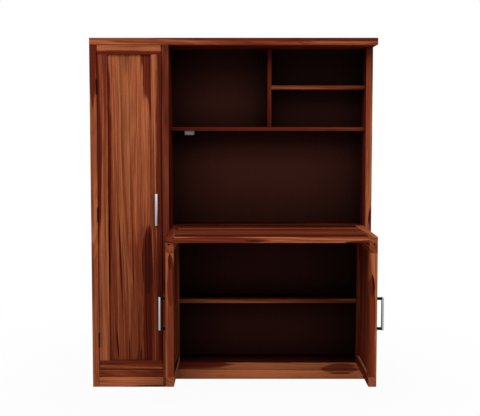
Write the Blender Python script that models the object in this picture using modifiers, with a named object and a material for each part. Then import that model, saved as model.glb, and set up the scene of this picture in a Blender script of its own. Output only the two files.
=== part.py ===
"""Study desk with bookshelf: a tall cupboard, an open hutch, a fold-down desk flap and a two-door cabinet.

Metres, +Z up, front towards -Y. The origin is at floor level, in the middle of the box that holds the desk
with its flap down and its two cabinet doors open.
"""

from math import radians

import bmesh
import bpy
from mathutils import Matrix, Vector

# Overall sizes
OVERALL_HEIGHT = 1.676
CUPBOARD_DEPTH = 0.335
HUTCH_DEPTH = 0.185
CUPBOARD_CLEAR_WIDTH = 0.3095
HUTCH_CLEAR_WIDTH = 0.9555
TOP_OVERHANG = 0.003
DESK_HEIGHT = 0.769
FLOOR_HEIGHT = 0.0845

# Board thicknesses
PANEL_THICKNESS = 0.032
TOP_THICKNESS = 0.032
FLOOR_THICKNESS = 0.036
PLINTH_THICKNESS = 0.020
BACK_THICKNESS = 0.008
HUTCH_SHELF_THICKNESS = 0.0185
DIVIDER_THICKNESS = 0.0185
CABINET_SHELF_THICKNESS = 0.022
CUPBOARD_SHELF_THICKNESS = 0.021
FLAP_THICKNESS = 0.028
DOOR_THICKNESS = 0.037

# Height of the cabinet shelf's upper face, the room left of the divider, and the number of cupboard shelves
CABINET_SHELF_HEIGHT = 0.400
DIVIDER_LEFT_ROOM = 0.476
CUPBOARD_SHELVES = ("lower", "upper")

# Framed doors
RAIL_HEIGHT = 0.044
STILE_WIDTH = 0.048
DOOR_PANEL_THICKNESS = 0.012
GROOVE_DEPTH = 0.007
DOOR_MEETING_GAP = 0.003
DOOR_END_GAP = 0.002
DOOR_STOP_GAP = 0.001

# Flap
FLAP_CLEAT_WIDTH = 0.040
FLAP_FRONT_RAIL_WIDTH = 0.057
FLAP_BACK_RAIL_WIDTH = 0.066
FLAP_ABOVE_SHELF = 0.019
FLAP_SIDE_GAP = 0.0025
FLAP_REST_GAP = 0.0006
FLAP_STOP_GAP = 0.0006

# Catches
CATCH_WIDTH = 0.047
CATCH_HEIGHT = 0.020
CATCH_DEPTH = 0.016
CATCH_FROM_MIDDLE_PANEL = 0.091
STRIKE_LENGTH = 0.060
STRIKE_WIDTH = 0.014
STRIKE_THICKNESS = 0.001
STRIKE_GAP = 0.0005
EDGE_CATCH_RADIUS = 0.0045
EDGE_CATCH_LENGTH = 0.014
EDGE_CATCH_BELOW_TOP = 0.0065
EDGE_CATCH_FROM_FACE = 0.0155

# Bar handles
HANDLE_LENGTH = 0.152
HANDLE_BAR_WIDTH = 0.015
HANDLE_BAR_THICKNESS = 0.011
HANDLE_PROJECTION = 0.033
HANDLE_FOOT_WIDTH = 0.012
HANDLE_FOOT_LENGTH = 0.012
HANDLE_ROUNDING = 0.0035
CUPBOARD_HANDLE_ABOVE_MIDDLE = 0.0
CABINET_HANDLE_ABOVE_MIDDLE = 0.0045

# Hinges
HINGE_GAP = 0.003
HINGE_LENGTH = 0.070
HINGE_LEAF_DEPTH = 0.026
LEAF_SEPARATION = 0.0004
CUPBOARD_KNUCKLE_RADIUS = 0.0035
CUPBOARD_PIN_RADIUS = 0.0016
SMALL_KNUCKLE_RADIUS = 0.0026
SMALL_PIN_RADIUS = 0.0011
SMALL_PIVOT_RISE = 0.001
BUTT_BARRELS = 3
FLAP_HINGE_BARRELS = 15
FLAP_HINGE_END_ROOM = 0.020
FLAP_HINGE_LEAF_DEPTH = 0.020
CUPBOARD_HINGE_ABOVE_BOTTOM = 0.1445
CUPBOARD_HINGE_BELOW_TOP = 0.196
CABINET_HINGE_FROM_END = 0.110

# Clearance between pieces that touch
FIT = 0.0003

# Facets of round pieces, and the angle above which an edge stays sharp
ROUND_SIDES = 16
HANDLE_ROUNDING_SEGMENTS = 2
SHARP_ANGLE = radians(40)

# How far the cabinet doors stand open
CABINET_DOOR_TURN = radians(90)

# Places across the width
TOTAL_WIDTH = 3 * PANEL_THICKNESS + CUPBOARD_CLEAR_WIDTH + HUTCH_CLEAR_WIDTH + TOP_OVERHANG
LEFT_OUTER = -TOTAL_WIDTH / 2
LEFT_INNER = LEFT_OUTER + PANEL_THICKNESS
MIDDLE_LEFT = LEFT_INNER + CUPBOARD_CLEAR_WIDTH
MIDDLE_RIGHT = MIDDLE_LEFT + PANEL_THICKNESS
RIGHT_INNER = MIDDLE_RIGHT + HUTCH_CLEAR_WIDTH
RIGHT_OUTER = RIGHT_INNER + PANEL_THICKNESS

# Places front to back: an open cabinet door reaches as far forward as the flap
CABINET_DOOR_WIDTH = (HUTCH_CLEAR_WIDTH - 2 * HINGE_GAP - DOOR_MEETING_GAP) / 2
FLAP_REACH = SMALL_PIVOT_RISE + HINGE_GAP / 2 + CABINET_DOOR_WIDTH
BACK = (HUTCH_DEPTH + FLAP_REACH) / 2
HUTCH_FRONT = BACK - HUTCH_DEPTH
CUPBOARD_FRONT = BACK - CUPBOARD_DEPTH
FLAP_FRONT = HUTCH_FRONT - FLAP_REACH
BACK_FACE = BACK - BACK_THICKNESS
FLAP_PIVOT_Y = HUTCH_FRONT + FLAP_THICKNESS + SMALL_PIVOT_RISE
FLAP_PIVOT_Z = DESK_HEIGHT + SMALL_PIVOT_RISE
FLAP_BACK = FLAP_PIVOT_Y - HINGE_GAP / 2
HUTCH_SHELF_FRONT = HUTCH_FRONT + FLAP_THICKNESS + FLAP_STOP_GAP

# Heights
TOP_UNDERSIDE = OVERALL_HEIGHT - TOP_THICKNESS
FLOOR_UNDERSIDE = FLOOR_HEIGHT - FLOOR_THICKNESS
DOOR_BOTTOM = FLOOR_HEIGHT + DOOR_END_GAP
CUPBOARD_DOOR_TOP = TOP_UNDERSIDE - DOOR_END_GAP
FLAP_UNDERSIDE = DESK_HEIGHT - FLAP_THICKNESS
CABINET_DOOR_TOP = FLAP_UNDERSIDE - FLAP_REST_GAP

# Heights of the hutch shelves' upper faces: the folded flap covers the long one's front edge, and the small
# one halves the room over it
FLAP_FOLDED_TOP = FLAP_PIVOT_Z + FLAP_PIVOT_Y - FLAP_FRONT
HUTCH_SHELF_HEIGHT = FLAP_FOLDED_TOP - FLAP_ABOVE_SHELF
SMALL_SHELF_HEIGHT = (HUTCH_SHELF_HEIGHT + TOP_UNDERSIDE + HUTCH_SHELF_THICKNESS) / 2

# Colours as linear values, with roughness and metallic
FINISHES = {
    "wood": ((0.20, 0.065, 0.028), 0.38, 0.0),
    "back_panel": ((0.060, 0.018, 0.010), 0.55, 0.0),
    "black_metal": ((0.008, 0.008, 0.009), 0.40, 0.6),
    "silver_metal": ((0.62, 0.63, 0.64), 0.30, 1.0),
    "grey_plastic": ((0.33, 0.32, 0.31), 0.50, 0.0),
    "black_plastic": ((0.006, 0.006, 0.006), 0.45, 0.0),
}


def clear_scene():
    """Remove every object of the open scene."""
    for old in list(bpy.data.objects):
        bpy.data.objects.remove(old, do_unlink=True)


def new_collection(name):
    made = bpy.data.collections.new(name)
    bpy.context.scene.collection.children.link(made)
    return made


def new_material(name, colour, roughness, metallic):
    made = bpy.data.materials.new(name)
    made.use_nodes = True
    shader = made.node_tree.nodes["Principled BSDF"]
    shader.inputs["Base Color"].default_value = (*colour, 1.0)
    shader.inputs["Roughness"].default_value = roughness
    shader.inputs["Metallic"].default_value = metallic
    return made


clear_scene()
PARTS = new_collection("study_desk")
CUTTERS = new_collection("study_desk_cutters")
MATERIALS = {name: new_material(name, *finish) for name, finish in FINISHES.items()}


def new_mesh(name, build):
    """A mesh from a function that fills a bmesh."""
    bm = bmesh.new()
    build(bm)
    mesh = bpy.data.meshes.new(name)
    bm.to_mesh(mesh)
    bm.free()
    return mesh


def box_mesh(name, size):
    scale = Matrix.Diagonal((*size, 1.0))
    return new_mesh(name, lambda bm: bmesh.ops.create_cube(bm, size=1.0, matrix=scale))


def cylinder_mesh(name, radius, length):
    """A capped cylinder along Z, centred on its origin, shaded smooth round its side."""
    mesh = new_mesh(
        name,
        lambda bm: bmesh.ops.create_cone(
            bm, cap_ends=True, segments=ROUND_SIDES, radius1=radius, radius2=radius, depth=length
        ),
    )
    mesh.shade_smooth()
    mesh.set_sharp_from_angle(angle=SHARP_ANGLE)
    return mesh


def add_object(name, mesh, matrix, collection, joint=None):
    """Place a mesh by a world matrix, carried by a joint's empty where one is given."""
    made = bpy.data.objects.new(name, mesh)
    collection.objects.link(made)
    if joint:
        made.parent = joint
        made.matrix_parent_inverse = Matrix.Translation(-joint.location)
    made.matrix_basis = matrix
    return made


def add_part(name, mesh, matrix, material, joint=None):
    made = add_object(name, mesh, matrix, PARTS, joint)
    if not mesh.materials:
        mesh.materials.append(MATERIALS[material])
    return made


def add_cutter(name, mesh, matrix, joint=None):
    made = add_object(name, mesh, matrix, CUTTERS, joint)
    made.hide_render = True
    made.display_type = "WIRE"
    return made


def spans_to_box(x, y, z):
    """The size and centre of the box between three pairs of limits, given in either order."""
    size = Vector(abs(high - low) for low, high in (x, y, z))
    centre = Vector((low + high) / 2 for low, high in (x, y, z))
    return size, Matrix.Translation(centre)


def board(name, x, y, z, material="wood", joint=None):
    """A rectangular piece between pairs of limits."""
    size, place = spans_to_box(x, y, z)
    return add_part(name, box_mesh(name, size), place, material, joint)


def box_cutter(name, x, y, z, joint=None):
    size, place = spans_to_box(x, y, z)
    return add_cutter(name, box_mesh(name, size), place, joint)


def boolean(target, other, operation):
    modifier = target.modifiers.new(f"{operation.lower()} {other.name}", "BOOLEAN")
    modifier.operation = operation
    modifier.solver = "EXACT"
    modifier.object = other


def cut(target, cutter):
    boolean(target, cutter, "DIFFERENCE")


def joint_empty(name, place):
    """An empty on a joint's axis, which carries the pieces that turn together."""
    made = bpy.data.objects.new(name, None)
    PARTS.objects.link(made)
    made.location = place
    made.empty_display_size = 0.05
    return made


def baked_mesh(name, base, helpers):
    """The evaluated mesh of a base object, after which it and its helpers are removed."""
    bpy.context.view_layer.update()
    graph = bpy.context.evaluated_depsgraph_get()
    mesh = bpy.data.meshes.new_from_object(base.evaluated_get(graph))
    mesh.transform(base.matrix_world)
    mesh.name = name
    for used in (base, *helpers):
        bpy.data.objects.remove(used, do_unlink=True)
    mesh.shade_smooth()
    mesh.set_sharp_from_angle(angle=SHARP_ANGLE)
    return mesh


def between(left, right):
    """A pair of limits pulled in by the fit clearance at both ends."""
    return left + FIT, right - FIT


def hinge_leaf_mesh(name, length, barrels, knuckle_radius, pin_radius, leaf_depth, on_frame):
    """One leaf of a hinge, with its barrels along Z and the pin fixed in the frame's leaf.

    X runs from the frame's face to the door's face across the hinge gap, and Y into the gap. The frame's leaf
    has the first, third and so on of the barrels, and the door's leaf the others, bored for the pin.
    """
    plate_span = (LEAF_SEPARATION / 2, HINGE_GAP / 2 - FIT)
    if on_frame:
        plate_span = (-plate_span[1], -plate_span[0])
    plate_start = knuckle_radius + FIT
    size, place = spans_to_box(plate_span, (plate_start, leaf_depth), (-length / 2, length / 2))
    plate = add_cutter(f"{name}_plate", box_mesh(name, size), place)
    helpers = []

    def join(label, mesh, matrix):
        piece = add_cutter(f"{name}_{label}", mesh, matrix)
        boolean(plate, piece, "UNION")
        helpers.append(piece)

    pitch = length / barrels
    for index in range(0 if on_frame else 1, barrels, 2):
        low = -length / 2 + index * pitch + (FIT / 2 if index > 0 else 0)
        high = -length / 2 + (index + 1) * pitch - (FIT / 2 if index < barrels - 1 else 0)
        web_size, web_place = spans_to_box(plate_span, (pin_radius / 2, plate_start + FIT), (low, high))
        join(f"web_{index}", box_mesh("web", web_size), web_place)
        barrel = cylinder_mesh("barrel", knuckle_radius, high - low)
        join(f"barrel_{index}", barrel, Matrix.Translation((0, 0, (low + high) / 2)))
    if on_frame:
        join("pin", cylinder_mesh("pin", pin_radius, length), Matrix.Identity(4))
    else:
        bore_mesh = cylinder_mesh("bore", pin_radius + FIT, 2 * length)
        bore = add_cutter(f"{name}_bore", bore_mesh, Matrix.Identity(4))
        cut(plate, bore)
        helpers.append(bore)
    return baked_mesh(name, plate, helpers)


def handle_mesh():
    """A bar with rounded outer edges on two square feet, centred on the face that it is screwed to."""
    bar_back = -HANDLE_PROJECTION + HANDLE_BAR_THICKNESS
    half_length = HANDLE_LENGTH / 2
    bar_span = (-HANDLE_BAR_WIDTH / 2, HANDLE_BAR_WIDTH / 2)
    size, place = spans_to_box(bar_span, (-HANDLE_PROJECTION, bar_back), (-half_length, half_length))
    bar = add_cutter("handle_bar", box_mesh("bar", size), place)
    rounding = bar.modifiers.new("rounded edges", "BEVEL")
    rounding.width = HANDLE_ROUNDING
    rounding.segments = HANDLE_ROUNDING_SEGMENTS
    foot_span = (-HANDLE_FOOT_WIDTH / 2, HANDLE_FOOT_WIDTH / 2)
    foot_reach = (bar_back - HANDLE_BAR_THICKNESS / 2, -FIT)
    feet = []
    for side in (-1, 1):
        outer = side * (half_length - HANDLE_ROUNDING)
        inner = outer - side * HANDLE_FOOT_LENGTH
        foot_size, foot_place = spans_to_box(foot_span, foot_reach, (inner, outer))
        foot = add_cutter("handle_foot", box_mesh("foot", foot_size), foot_place)
        boolean(bar, foot, "UNION")
        feet.append(foot)
    return baked_mesh("handle", bar, feet)


def carcass():
    """The fixed boards of the cupboard, hutch and cabinet."""
    panel_height = (0, TOP_UNDERSIDE - FIT)
    left = (LEFT_OUTER, LEFT_INNER)
    middle = (MIDDLE_LEFT, MIDDLE_RIGHT)
    right = (RIGHT_INNER, RIGHT_OUTER)
    board("side_panel_left", left, (CUPBOARD_FRONT, BACK), panel_height)
    board("side_panel_middle", middle, (CUPBOARD_FRONT, BACK), panel_height)
    board("side_panel_right", right, (HUTCH_FRONT, BACK), panel_height)
    board(
        "top_board",
        (LEFT_OUTER, RIGHT_OUTER + TOP_OVERHANG),
        (CUPBOARD_FRONT, BACK),
        (TOP_UNDERSIDE, OVERALL_HEIGHT),
    )
    bays = {
        "cupboard": (between(LEFT_INNER, MIDDLE_LEFT), CUPBOARD_FRONT, "cupboard_back"),
        "cabinet": (between(MIDDLE_RIGHT, RIGHT_INNER), HUTCH_FRONT, "hutch_back"),
    }
    for bay, (width, front, back_name) in bays.items():
        board(f"{bay}_floor", width, (front, BACK_FACE - FIT), (FLOOR_UNDERSIDE, FLOOR_HEIGHT))
        board(f"{bay}_plinth", width, (front, front + PLINTH_THICKNESS), (0, FLOOR_UNDERSIDE - FIT))
        board(back_name, width, (BACK_FACE, BACK), (FLOOR_UNDERSIDE, TOP_UNDERSIDE - FIT), "back_panel")


def shelves():
    """The shelves and the divider, which stand behind the doors or behind the folded flap."""
    cupboard_width = between(LEFT_INNER, MIDDLE_LEFT)
    hutch_width = between(MIDDLE_RIGHT, RIGHT_INNER)
    cupboard_depth = (CUPBOARD_FRONT + DOOR_THICKNESS + DOOR_STOP_GAP, BACK_FACE - FIT)
    cabinet_depth = (HUTCH_FRONT + DOOR_THICKNESS + DOOR_STOP_GAP, BACK_FACE - FIT)
    hutch_depth = (HUTCH_SHELF_FRONT, BACK_FACE - FIT)
    shelf_count = len(CUPBOARD_SHELVES)
    clear_height = TOP_UNDERSIDE - FLOOR_HEIGHT - shelf_count * CUPBOARD_SHELF_THICKNESS
    shelf_pitch = clear_height / (shelf_count + 1) + CUPBOARD_SHELF_THICKNESS
    for number, level in enumerate(CUPBOARD_SHELVES, 1):
        height = FLOOR_HEIGHT + number * shelf_pitch
        board(
            f"cupboard_shelf_{level}",
            cupboard_width,
            cupboard_depth,
            (height - CUPBOARD_SHELF_THICKNESS, height),
        )
    board(
        "cabinet_shelf",
        hutch_width,
        cabinet_depth,
        (CABINET_SHELF_HEIGHT - CABINET_SHELF_THICKNESS, CABINET_SHELF_HEIGHT),
    )
    board(
        "hutch_shelf",
        hutch_width,
        hutch_depth,
        (HUTCH_SHELF_HEIGHT - HUTCH_SHELF_THICKNESS, HUTCH_SHELF_HEIGHT),
    )
    divider_left = MIDDLE_RIGHT + DIVIDER_LEFT_ROOM
    divider_right = divider_left + DIVIDER_THICKNESS
    board(
        "hutch_divider",
        (divider_left, divider_right),
        hutch_depth,
        between(HUTCH_SHELF_HEIGHT, TOP_UNDERSIDE),
    )
    board(
        "hutch_small_shelf",
        between(divider_right, RIGHT_INNER),
        hutch_depth,
        (SMALL_SHELF_HEIGHT - HUTCH_SHELF_THICKNESS, SMALL_SHELF_HEIGHT),
    )


def framed_door(prefix, joint, hinge_edge, direction, width, top, face):
    """A closed door of two full-width rails, two stiles and a panel in grooves.

    Direction is +1 for a door that runs from its hinges towards +X, and -1 for one that runs towards -X.
    """

    def across(start, end):
        return hinge_edge + direction * start, hinge_edge + direction * end

    thickness = (face, face + DOOR_THICKNESS)
    stile_height = between(DOOR_BOTTOM + RAIL_HEIGHT, top - RAIL_HEIGHT)
    members = {
        "top_rail": (across(0, width), (top - RAIL_HEIGHT, top)),
        "bottom_rail": (across(0, width), (DOOR_BOTTOM, DOOR_BOTTOM + RAIL_HEIGHT)),
        "hinge_stile": (across(0, STILE_WIDTH), stile_height),
        "free_stile": (across(width - STILE_WIDTH, width), stile_height),
    }
    frame = [
        board(f"{prefix}_{member}", span, thickness, height, joint=joint)
        for member, (span, height) in members.items()
    ]
    panel_start = STILE_WIDTH - GROOVE_DEPTH
    panel_low = DOOR_BOTTOM + RAIL_HEIGHT - GROOVE_DEPTH
    panel_high = top - RAIL_HEIGHT + GROOVE_DEPTH
    panel_face = face + (DOOR_THICKNESS - DOOR_PANEL_THICKNESS) / 2
    panel_back = panel_face + DOOR_PANEL_THICKNESS
    board(
        f"{prefix}_panel",
        across(panel_start, width - panel_start),
        (panel_face, panel_back),
        (panel_low, panel_high),
        joint=joint,
    )
    groove = box_cutter(
        f"{prefix}_groove",
        across(panel_start - FIT, width - panel_start + FIT),
        (panel_face - FIT, panel_back + FIT),
        (panel_low - FIT, panel_high + FIT),
        joint,
    )
    for piece in frame:
        cut(piece, groove)
    return {piece.name: piece for piece in frame}


def edge_catch(prefix, joint, free_edge, direction, face, top_rail):
    """A round catch pushed into the free edge of a cabinet door, near its top."""
    sideways = Matrix.Rotation(radians(90), 4, "Y")
    height = CABINET_DOOR_TOP - EDGE_CATCH_BELOW_TOP
    depth = face + EDGE_CATCH_FROM_FACE
    centre = free_edge - direction * (EDGE_CATCH_LENGTH / 2 + FIT)
    catch_mesh = cylinder_mesh("edge_catch", EDGE_CATCH_RADIUS, EDGE_CATCH_LENGTH)
    place = Matrix.Translation((centre, depth, height)) @ sideways
    add_part(f"{prefix}_edge_catch", catch_mesh, place, "black_plastic", joint)
    bore_mesh = cylinder_mesh("edge_catch_bore", EDGE_CATCH_RADIUS + FIT, 2 * (EDGE_CATCH_LENGTH + 2 * FIT))
    bore_place = Matrix.Translation((free_edge, depth, height)) @ sideways
    cut(top_rail, add_cutter(f"{prefix}_edge_catch_bore", bore_mesh, bore_place, joint))


def knuckle_groove(name, place, length, pieces):
    """Cut room for a hinge's barrels out of the pieces beside it."""
    groove_mesh = cylinder_mesh(name, SMALL_KNUCKLE_RADIUS + FIT, length + 2 * FIT)
    groove = add_cutter(name, groove_mesh, place)
    for piece in pieces:
        cut(piece, groove)


def cupboard_door(handle):
    """The tall door, closed, on three butt hinges whose barrels stand in front of its face."""
    pivot_x = LEFT_INNER + HINGE_GAP / 2
    pivot_y = CUPBOARD_FRONT - CUPBOARD_KNUCKLE_RADIUS - FIT
    joint = joint_empty("cupboard_door_joint", (pivot_x, pivot_y, 0))
    width = CUPBOARD_CLEAR_WIDTH - 2 * HINGE_GAP
    hinge_edge = LEFT_INNER + HINGE_GAP
    framed_door("cupboard_door", joint, hinge_edge, 1, width, CUPBOARD_DOOR_TOP, CUPBOARD_FRONT)
    handle_x = hinge_edge + width - STILE_WIDTH / 2
    handle_z = (DOOR_BOTTOM + CUPBOARD_DOOR_TOP) / 2 + CUPBOARD_HANDLE_ABOVE_MIDDLE
    place = Matrix.Translation((handle_x, CUPBOARD_FRONT, handle_z))
    add_part("cupboard_door_handle", handle, place, "silver_metal", joint)
    sizes = (HINGE_LENGTH, BUTT_BARRELS, CUPBOARD_KNUCKLE_RADIUS, CUPBOARD_PIN_RADIUS, HINGE_LEAF_DEPTH)
    frame_leaf = hinge_leaf_mesh("cupboard_hinge_frame_leaf", *sizes, True)
    door_leaf = hinge_leaf_mesh("cupboard_hinge_door_leaf", *sizes, False)
    lower = DOOR_BOTTOM + CUPBOARD_HINGE_ABOVE_BOTTOM
    upper = CUPBOARD_DOOR_TOP - CUPBOARD_HINGE_BELOW_TOP
    heights = {"lower": lower, "middle": (lower + upper) / 2, "upper": upper}
    for level, height in heights.items():
        place = Matrix.Translation((pivot_x, pivot_y, height))
        add_part(f"cupboard_hinge_{level}_frame_leaf", frame_leaf, place, "black_metal")
        add_part(f"cupboard_hinge_{level}_door_leaf", door_leaf, place, "black_metal", joint)


def cabinet_doors(handle):
    """The two doors under the desk, built closed and then swung open by a right angle."""
    sizes = (HINGE_LENGTH, BUTT_BARRELS, SMALL_KNUCKLE_RADIUS, SMALL_PIN_RADIUS, HINGE_LEAF_DEPTH)
    frame_leaf = hinge_leaf_mesh("cabinet_hinge_frame_leaf", *sizes, True)
    door_leaf = hinge_leaf_mesh("cabinet_hinge_door_leaf", *sizes, False)
    hinge_heights = {
        "lower": DOOR_BOTTOM + CABINET_HINGE_FROM_END,
        "upper": CABINET_DOOR_TOP - CABINET_HINGE_FROM_END,
    }
    handle_z = (DOOR_BOTTOM + CABINET_DOOR_TOP) / 2 + CABINET_HANDLE_ABOVE_MIDDLE
    sides = {
        "left_door": (MIDDLE_RIGHT, 1, "side_panel_middle"),
        "right_door": (RIGHT_INNER, -1, "side_panel_right"),
    }
    for prefix, (panel_face, direction, panel_name) in sides.items():
        pivot = Vector((panel_face + direction * HINGE_GAP / 2, HUTCH_FRONT - SMALL_PIVOT_RISE, 0))
        joint = joint_empty(f"{prefix}_joint", pivot)
        hinge_edge = panel_face + direction * HINGE_GAP
        door_size = (CABINET_DOOR_WIDTH, CABINET_DOOR_TOP)
        frame = framed_door(prefix, joint, hinge_edge, direction, *door_size, HUTCH_FRONT)
        free_edge = hinge_edge + direction * CABINET_DOOR_WIDTH
        edge_catch(prefix, joint, free_edge, direction, HUTCH_FRONT, frame[f"{prefix}_top_rail"])
        handle_place = (free_edge - direction * STILE_WIDTH / 2, HUTCH_FRONT, handle_z)
        add_part(f"{prefix}_handle", handle, Matrix.Translation(handle_place), "silver_metal", joint)
        turned = Matrix.Rotation(radians(0 if direction > 0 else 180), 4, "Y")
        beside = (bpy.data.objects[panel_name], frame[f"{prefix}_hinge_stile"])
        for level, height in hinge_heights.items():
            place = Matrix.Translation((pivot.x, pivot.y, height)) @ turned
            add_part(f"{prefix}_hinge_{level}_frame_leaf", frame_leaf, place, "black_metal")
            add_part(f"{prefix}_hinge_{level}_door_leaf", door_leaf, place, "black_metal", joint)
            knuckle_groove(f"{prefix}_hinge_{level}_groove", place, HINGE_LENGTH, beside)
        joint.rotation_euler.z = -direction * CABINET_DOOR_TURN


def desk_flap():
    """The folding flap, lying down in line with the fixed desk board that its long hinge is screwed to."""
    joint = joint_empty("flap_joint", ((MIDDLE_RIGHT + RIGHT_INNER) / 2, FLAP_PIVOT_Y, FLAP_PIVOT_Z))
    left = MIDDLE_RIGHT + FLAP_SIDE_GAP
    right = RIGHT_INNER - FLAP_SIDE_GAP
    inside = between(left + FLAP_CLEAT_WIDTH, right - FLAP_CLEAT_WIDTH)
    height = (FLAP_UNDERSIDE, DESK_HEIGHT)
    desk = board(
        "desk_board",
        between(MIDDLE_RIGHT, RIGHT_INNER),
        (FLAP_PIVOT_Y + HINGE_GAP / 2, BACK_FACE - FIT),
        height,
    )
    board("flap_cleat_left", (left, left + FLAP_CLEAT_WIDTH), (FLAP_FRONT, FLAP_BACK), height, joint=joint)
    board("flap_cleat_right", (right - FLAP_CLEAT_WIDTH, right), (FLAP_FRONT, FLAP_BACK), height, joint=joint)
    front_rail_back = FLAP_FRONT + FLAP_FRONT_RAIL_WIDTH
    back_rail_front = FLAP_BACK - FLAP_BACK_RAIL_WIDTH
    board("flap_front_rail", inside, (FLAP_FRONT, front_rail_back), height, joint=joint)
    board("flap_panel", inside, between(front_rail_back, back_rail_front), height, joint=joint)
    back_rail = board("flap_back_rail", inside, (back_rail_front, FLAP_BACK), height, joint=joint)
    length = inside[1] - inside[0] - 2 * FLAP_HINGE_END_ROOM
    sizes = (length, FLAP_HINGE_BARRELS, SMALL_KNUCKLE_RADIUS, SMALL_PIN_RADIUS, FLAP_HINGE_LEAF_DEPTH)
    frame_to_door, into_gap, along = (0, -1, 0), (0, 0, -1), (1, 0, 0)
    turned = Matrix((frame_to_door, into_gap, along)).transposed().to_4x4()
    place = Matrix.Translation(joint.location) @ turned
    frame_leaf = hinge_leaf_mesh("flap_hinge_frame_leaf", *sizes, True)
    flap_leaf = hinge_leaf_mesh("flap_hinge_leaf", *sizes, False)
    add_part("flap_hinge_frame_leaf", frame_leaf, place, "black_metal")
    add_part("flap_hinge_leaf", flap_leaf, place, "black_metal", joint)
    knuckle_groove("flap_hinge_groove", place, length, (desk, back_rail))
    flap_catch(joint)


def flap_catch(joint):
    """The catch under the hutch shelf, and the plate on the flap that meets it when the flap is up."""
    centre = MIDDLE_RIGHT + CATCH_FROM_MIDDLE_PANEL
    catch_top = HUTCH_SHELF_HEIGHT - HUTCH_SHELF_THICKNESS - FIT
    folded_face = HUTCH_FRONT + FLAP_THICKNESS
    catch_front = folded_face + FIT + STRIKE_THICKNESS + STRIKE_GAP
    board(
        "flap_catch",
        (centre - CATCH_WIDTH / 2, centre + CATCH_WIDTH / 2),
        (catch_front, catch_front + CATCH_DEPTH),
        (catch_top - CATCH_HEIGHT, catch_top),
        "grey_plastic",
    )
    from_pivot = catch_top - CATCH_HEIGHT / 2 - FLAP_PIVOT_Z
    strike_y = FLAP_PIVOT_Y - from_pivot
    board(
        "flap_strike_plate",
        (centre - STRIKE_LENGTH / 2, centre + STRIKE_LENGTH / 2),
        (strike_y - STRIKE_WIDTH / 2, strike_y + STRIKE_WIDTH / 2),
        (DESK_HEIGHT + FIT, DESK_HEIGHT + FIT + STRIKE_THICKNESS),
        "black_metal",
        joint,
    )


carcass()
shelves()
HANDLE = handle_mesh()
cupboard_door(HANDLE)
cabinet_doors(HANDLE)
desk_flap()
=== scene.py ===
"""Looks of a study desk with bookshelf: wood, stained sheets, handles, hinges, catches and a studio."""

from math import cos, pi, radians, sin
from random import Random
from typing import NamedTuple

import bmesh
import bpy
from bpy.props import FloatProperty, FloatVectorProperty, PointerProperty
from bpy.types import NodeSocket, Operator, Panel, PropertyGroup
from mathutils import Matrix, Vector


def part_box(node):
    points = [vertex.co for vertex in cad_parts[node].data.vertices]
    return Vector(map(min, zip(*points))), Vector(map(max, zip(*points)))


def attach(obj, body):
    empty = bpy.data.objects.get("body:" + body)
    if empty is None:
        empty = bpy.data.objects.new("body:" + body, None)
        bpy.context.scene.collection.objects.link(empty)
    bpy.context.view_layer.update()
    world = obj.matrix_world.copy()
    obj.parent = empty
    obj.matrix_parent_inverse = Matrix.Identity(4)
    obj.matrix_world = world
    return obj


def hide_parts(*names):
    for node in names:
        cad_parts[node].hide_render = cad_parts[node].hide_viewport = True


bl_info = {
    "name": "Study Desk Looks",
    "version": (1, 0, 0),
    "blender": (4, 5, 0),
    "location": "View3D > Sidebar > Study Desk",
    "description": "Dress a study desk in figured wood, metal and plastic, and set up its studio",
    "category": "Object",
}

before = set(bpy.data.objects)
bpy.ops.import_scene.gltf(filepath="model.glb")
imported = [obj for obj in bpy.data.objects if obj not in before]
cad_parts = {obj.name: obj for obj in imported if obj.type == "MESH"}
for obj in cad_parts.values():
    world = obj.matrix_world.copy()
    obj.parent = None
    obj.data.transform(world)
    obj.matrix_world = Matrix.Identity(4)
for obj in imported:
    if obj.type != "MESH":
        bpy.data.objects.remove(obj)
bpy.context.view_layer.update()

# Bodies of the desk
CARCASS = "carcass"
CUPBOARD_DOOR = "cupboard_door"
LEFT_DOOR = "left_door"
RIGHT_DOOR = "right_door"
DESK_FLAP = "desk_flap"
DOORS = (CUPBOARD_DOOR, LEFT_DOOR, RIGHT_DOOR)

# Directions in the frame
LEFTWARD = Vector((-1.0, 0.0, 0.0))
RIGHTWARD = Vector((1.0, 0.0, 0.0))
FORWARD = Vector((0.0, -1.0, 0.0))
BACKWARD = Vector((0.0, 1.0, 0.0))
UPWARD = Vector((0.0, 0.0, 1.0))

# Shapes: how near an edge lies to an outer arris, and what counts as a sharp edge of boards and of pieces
ON_FACE = 0.0002
MERGE = 0.00001
FLAT_ANGLE = radians(1)
SHARP_ANGLE = radians(30)
PIECE_SHARP_ANGLE = radians(35)
SHORTEST_ARRIS = 0.02
ARRIS_SEGMENTS = 3

# The sides of a box: the axis that each faces along, and which of the box's two corners lies on it
SIDES = {"left": (0, 0), "right": (0, 1), "front": (1, 0), "back": (1, 1), "bottom": (2, 0), "top": (2, 1)}
PANEL_SIDES = ("left", "right", "front", "back", "bottom")
SHELF_SIDES = ("front", "top", "bottom")

# Figured wood: stretches of its noises along, across and through the grain, per metre
SLOW_STRETCH = (1.4, 8.0, 8.0)
BROAD_STRETCH = (0.9, 20.0, 20.0)
STREAK_STRETCH = (2.4, 150.0, 150.0)
FIBRE_STRETCH = (12.0, 420.0, 420.0)
PORE_STRETCH = (55.0, 1500.0, 1500.0)
FIGURE_STRETCH = (6.0, 70.0, 70.0)

# Figured wood: how far staves are moved apart, the width that means no staves, and random starts
STAVE_SHIFT = (1.7, 0.3, 0.3)
WHOLE_BOARD = 10.0
SEED_RANGE = 60.0
BAND_SEED = 7.0
VEIN_SEED = 11.0

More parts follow.
